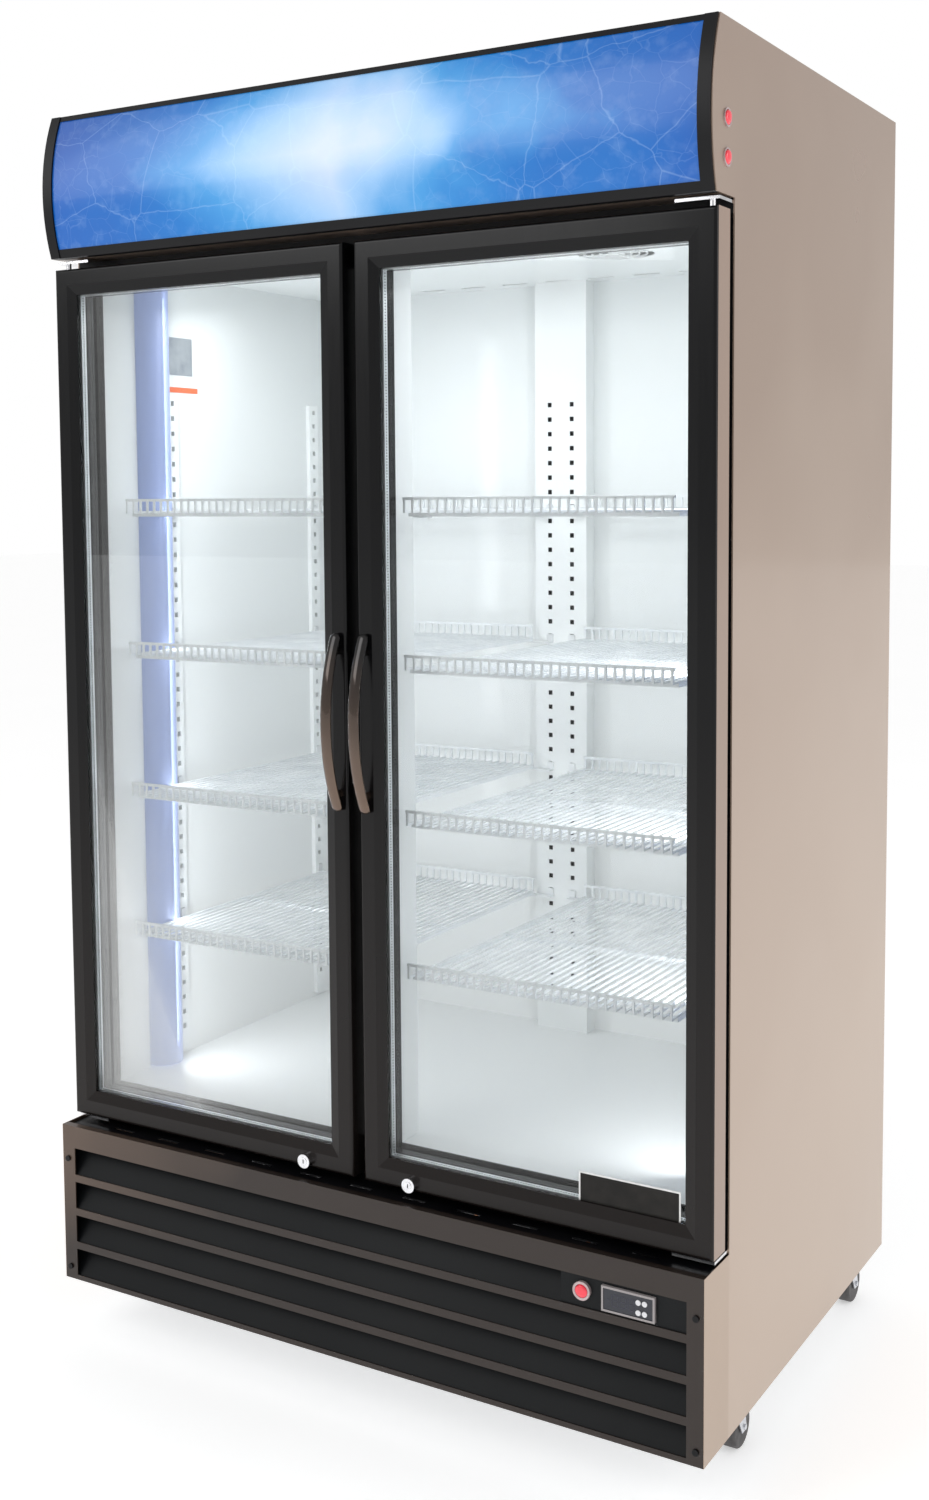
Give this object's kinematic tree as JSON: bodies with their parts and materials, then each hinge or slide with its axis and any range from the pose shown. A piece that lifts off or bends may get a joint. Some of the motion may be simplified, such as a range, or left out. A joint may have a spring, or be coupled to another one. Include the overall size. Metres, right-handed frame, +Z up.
{
  "type": "glass door merchandiser",
  "caption": "Two-door upright glass merchandiser with a lit curved canopy, wire shelves, louvred machine base and casters",
  "frame": {"origin": "centre of the footprint, on the floor under the wheels", "axes": "+Z up, the doors face -Y, +X is to the right in a front view"},
  "size_m": [1.1252, 0.7854, 1.954],
  "materials": {
    "tan_paint": "gloss",
    "brown_paint": "gloss",
    "galvanised": "satin",
    "foam": "matt",
    "white_liner": "satin",
    "black_frame": "satin",
    "white_wire": "gloss",
    "clip_plastic": "satin",
    "lamp_plastic": "satin",
    "lamp_glass": "frosted",
    "fin_metal": "satin",
    "motor_metal": "satin",
    "fan_metal": "satin",
    "copper": "satin",
    "box_plastic": "satin",
    "black_louvre": "matt",
    "black_steel": "gloss",
    "controller_plastic": "satin",
    "button_plastic": "satin",
    "bezel_plastic": "gloss",
    "red_rocker": "gloss",
    "canopy_black": "gloss",
    "canopy_print": "gloss",
    "door_paint": "gloss",
    "door_pane": "clear",
    "spacer_metal": "satin",
    "gasket_rubber": "matt",
    "handle_chrome": "polished",
    "bright_chrome": "polished",
    "zinc": "satin",
    "wheel_rubber": "matt"
  },
  "bodies": {
    "cabinet": {"side_panels": "tan_paint", "roof_panel": "galvanised", "back_panel": "galvanised", "insulation": "foam", "inner_liner": "white_liner", "face_frame": "black_frame", "mullion": "white_liner", "shelf_uprights": "white_liner", "shelves_right": "white_wire", "shelves_left": "white_wire", "shelf_clips": "clip_plastic", "lamp_covers": "lamp_plastic", "lamp_tubes": "lamp_glass", "evaporator_cover": "white_liner", "evaporator_coil": "fin_metal", "fan_motors": "motor_metal", "base_tray": "galvanised", "compressor": "motor_metal", "condenser_coil": "fin_metal", "refrigerant_pipes": "copper", "electrical_box": "box_plastic", "grille_panel": "brown_paint", "louvre_panel": "black_louvre", "screws": "black_steel", "controller_case": "controller_plastic", "switch_bezels": "bezel_plastic", "canopy_housing": "tan_paint", "canopy_trims": "canopy_black", "canopy_panel": "canopy_print", "hinge_brackets": "bright_chrome", "caster_plates": "zinc"},
    "left_door": {"left_door_frame": "door_paint", "left_door_glass": "door_pane", "left_glass_spacer": "spacer_metal", "left_door_gasket": "gasket_rubber", "left_door_handle": "handle_chrome", "left_lock_barrel": "bright_chrome"},
    "left_lock": {"left_lock_plug": "bright_chrome"},
    "right_door": {"right_door_frame": "door_paint", "right_door_glass": "door_pane", "right_glass_spacer": "spacer_metal", "right_door_gasket": "gasket_rubber", "right_door_handle": "handle_chrome", "right_lock_barrel": "bright_chrome"},
    "right_lock": {"right_lock_plug": "bright_chrome"},
    "evaporator_fan_wheel": {"evaporator_fan": "fan_metal"},
    "condenser_fan_wheel": {"condenser_fan": "fan_metal"},
    "controller_button_upper_left_body": {"controller_button_upper_left": "button_plastic"},
    "controller_button_upper_right_body": {"controller_button_upper_right": "button_plastic"},
    "controller_button_lower_left_body": {"controller_button_lower_left": "button_plastic"},
    "controller_button_lower_right_body": {"controller_button_lower_right": "button_plastic"},
    "power_rocker_body": {"power_rocker": "red_rocker"},
    "light_rocker_upper_body": {"light_rocker_upper": "red_rocker"},
    "light_rocker_lower_body": {"light_rocker_lower": "red_rocker"},
    "front_left_caster": {"front_left_caster_fork": "zinc"},
    "front_left_wheel": {"front_left_caster_wheel": "wheel_rubber"},
    "rear_left_wheel": {"rear_left_caster_wheel": "wheel_rubber"},
    "front_right_caster": {"front_right_caster_fork": "zinc"},
    "front_right_wheel": {"front_right_caster_wheel": "wheel_rubber"},
    "rear_right_wheel": {"rear_right_caster_wheel": "wheel_rubber"}
  },
  "joints": [
    {"name": "left_door_hinge", "type": "hinge", "parent": "cabinet", "child": "left_door", "pos_m": [-0.545, -0.33625, 1.038], "axis": [0, 0, -1], "range_deg": [0, 110], "stiffness_Nm_per_rad": 1.2, "springref_deg": -17.19},
    {"name": "left_lock_turn", "type": "hinge", "parent": "left_door", "child": "left_lock", "pos_m": [-0.0925, -0.33925, 0.368], "axis": [0, -1, 0], "range_deg": [0, 90]},
    {"name": "right_door_hinge", "type": "hinge", "parent": "cabinet", "child": "right_door", "pos_m": [0.545, -0.33625, 1.038], "axis": [0, 0, 1], "range_deg": [0, 110], "stiffness_Nm_per_rad": 1.2, "springref_deg": -17.19},
    {"name": "right_lock_turn", "type": "hinge", "parent": "right_door", "child": "right_lock", "pos_m": [0.0925, -0.33925, 0.368], "axis": [0, 1, 0], "range_deg": [0, 90]},
    {"name": "evaporator_fan_spin", "type": "hinge", "parent": "cabinet", "child": "evaporator_fan_wheel", "pos_m": [0.228, 0.04575, 1.758], "axis": [0, 0, 1], "continuous": true},
    {"name": "condenser_fan_spin", "type": "hinge", "parent": "cabinet", "child": "condenser_fan_wheel", "pos_m": [-0.09, -0.21725, 0.212], "axis": [0, 1, 0], "continuous": true},
    {"name": "controller_button_upper_left_press", "type": "slide", "parent": "cabinet", "child": "controller_button_upper_left_body", "axis": [0, 1, 0], "range_m": [0, 0.0008], "stiffness_N_per_m": 400},
    {"name": "controller_button_upper_right_press", "type": "slide", "parent": "cabinet", "child": "controller_button_upper_right_body", "axis": [0, 1, 0], "range_m": [0, 0.0008], "stiffness_N_per_m": 400},
    {"name": "controller_button_lower_left_press", "type": "slide", "parent": "cabinet", "child": "controller_button_lower_left_body", "axis": [0, 1, 0], "range_m": [0, 0.0008], "stiffness_N_per_m": 400},
    {"name": "controller_button_lower_right_press", "type": "slide", "parent": "cabinet", "child": "controller_button_lower_right_body", "axis": [0, 1, 0], "range_m": [0, 0.0008], "stiffness_N_per_m": 400},
    {"name": "power_rocker_tilt", "type": "hinge", "parent": "cabinet", "child": "power_rocker_body", "pos_m": [0.383, -0.38375, 0.29], "axis": [-1, 0, 0], "range_deg": [0, 16]},
    {"name": "light_rocker_upper_tilt", "type": "hinge", "parent": "cabinet", "child": "light_rocker_upper_body", "pos_m": [0.5585, -0.32725, 1.83], "axis": [0, -1, 0], "range_deg": [0, 16]},
    {"name": "light_rocker_lower_tilt", "type": "hinge", "parent": "cabinet", "child": "light_rocker_lower_body", "pos_m": [0.5585, -0.32725, 1.781], "axis": [0, -1, 0], "range_deg": [0, 16]},
    {"name": "front_left_caster_swivel", "type": "hinge", "parent": "cabinet", "child": "front_left_caster", "pos_m": [-0.515, -0.18425, 0.08], "axis": [0, 0, 1], "continuous": true},
    {"name": "front_left_wheel_roll", "type": "hinge", "parent": "front_left_caster", "child": "front_left_wheel", "pos_m": [-0.515, -0.16225, 0.031], "axis": [1, 0, 0], "continuous": true},
    {"name": "rear_left_wheel_roll", "type": "hinge", "parent": "cabinet", "child": "rear_left_wheel", "pos_m": [-0.515, 0.35075, 0.031], "axis": [1, 0, 0], "continuous": true},
    {"name": "front_right_caster_swivel", "type": "hinge", "parent": "cabinet", "child": "front_right_caster", "pos_m": [0.515, -0.18425, 0.08], "axis": [0, 0, 1], "continuous": true},
    {"name": "front_right_wheel_roll", "type": "hinge", "parent": "front_right_caster", "child": "front_right_wheel", "pos_m": [0.515, -0.16225, 0.031], "axis": [1, 0, 0], "continuous": true},
    {"name": "rear_right_wheel_roll", "type": "hinge", "parent": "cabinet", "child": "rear_right_wheel", "pos_m": [0.515, 0.35075, 0.031], "axis": [1, 0, 0], "continuous": true}
  ]
}
